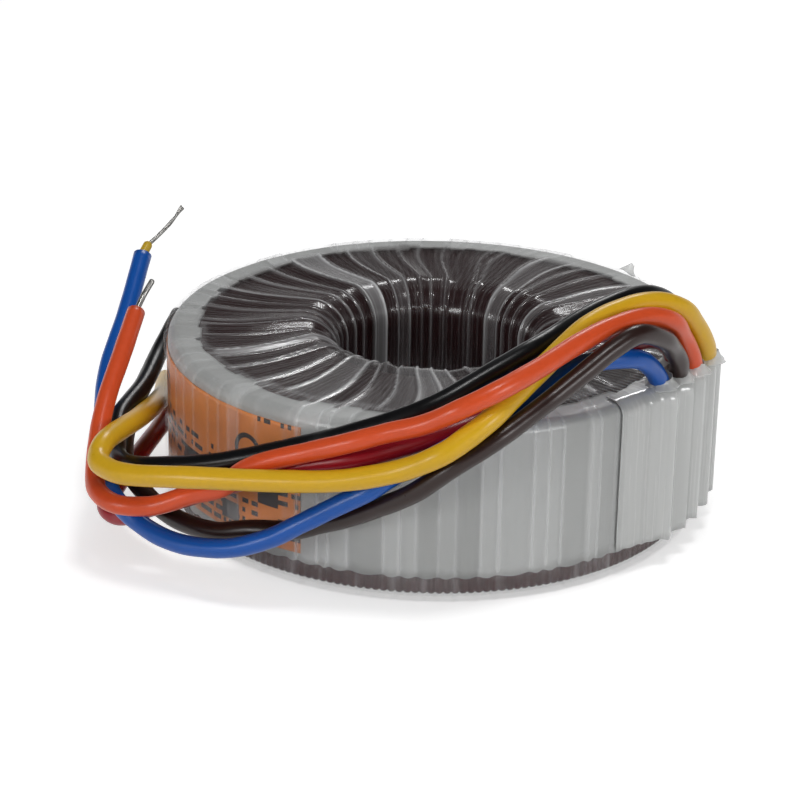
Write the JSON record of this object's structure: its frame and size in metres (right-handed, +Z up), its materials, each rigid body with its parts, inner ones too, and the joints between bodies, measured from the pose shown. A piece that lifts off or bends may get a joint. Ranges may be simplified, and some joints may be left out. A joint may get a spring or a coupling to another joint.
{
  "type": "toroidal transformer",
  "caption": "Ring-shaped mains transformer wrapped in clear film over a pale band, with sleeved flying leads from one side and an open centre hole.",
  "frame": {"origin": "on the axis of the centre hole, in the plane of the lower face that the ring stands on", "axes": "+Z up along the centre hole's axis; the leads leave the upper rim on the +X -Y side and lie round the -Y and -X sides"},
  "size_m": [0.1334, 0.1237, 0.0556],
  "materials": {
    "core_steel": "rolled",
    "cap_plastic": "moulded",
    "primary_wire": "enamelled",
    "secondary_wire": "enamelled",
    "screen_film": "glossy",
    "clear_film": "clear",
    "pale_band": "satin",
    "label_sheet": "printed",
    "anchor_film": "glossy",
    "tinned_copper": "tinned",
    "black_sleeve": "satin",
    "yellow_sleeve": "satin",
    "orange_sleeve": "satin",
    "brown_sleeve": "satin",
    "blue_sleeve": "satin",
    "red_sleeve": "satin"
  },
  "bodies": {
    "root": {"core_strip_roll": "core_steel", "core_cap_lower": "cap_plastic", "core_cap_upper": "cap_plastic", "primary_winding": "primary_wire", "screen_film": "screen_film", "inner_secondary_winding": "primary_wire", "outer_secondary_winding": "secondary_wire", "under_film": "clear_film", "outer_band": "pale_band", "label": "label_sheet", "clear_film_wrap": "clear_film", "lead_anchor_wrap": "anchor_film", "blue_lead_inner_insulation": "yellow_sleeve", "black_lead_sleeve": "black_sleeve", "black_lead_conductor": "tinned_copper", "yellow_lead_sleeve": "yellow_sleeve", "yellow_lead_conductor": "tinned_copper", "orange_lead_sleeve": "orange_sleeve", "orange_lead_conductor": "tinned_copper", "brown_lead_sleeve": "brown_sleeve", "brown_lead_conductor": "tinned_copper", "blue_lead_sleeve": "blue_sleeve", "blue_lead_conductor": "tinned_copper", "red_lead_sleeve": "red_sleeve", "red_lead_conductor": "tinned_copper"}
  },
  "joints": []
}
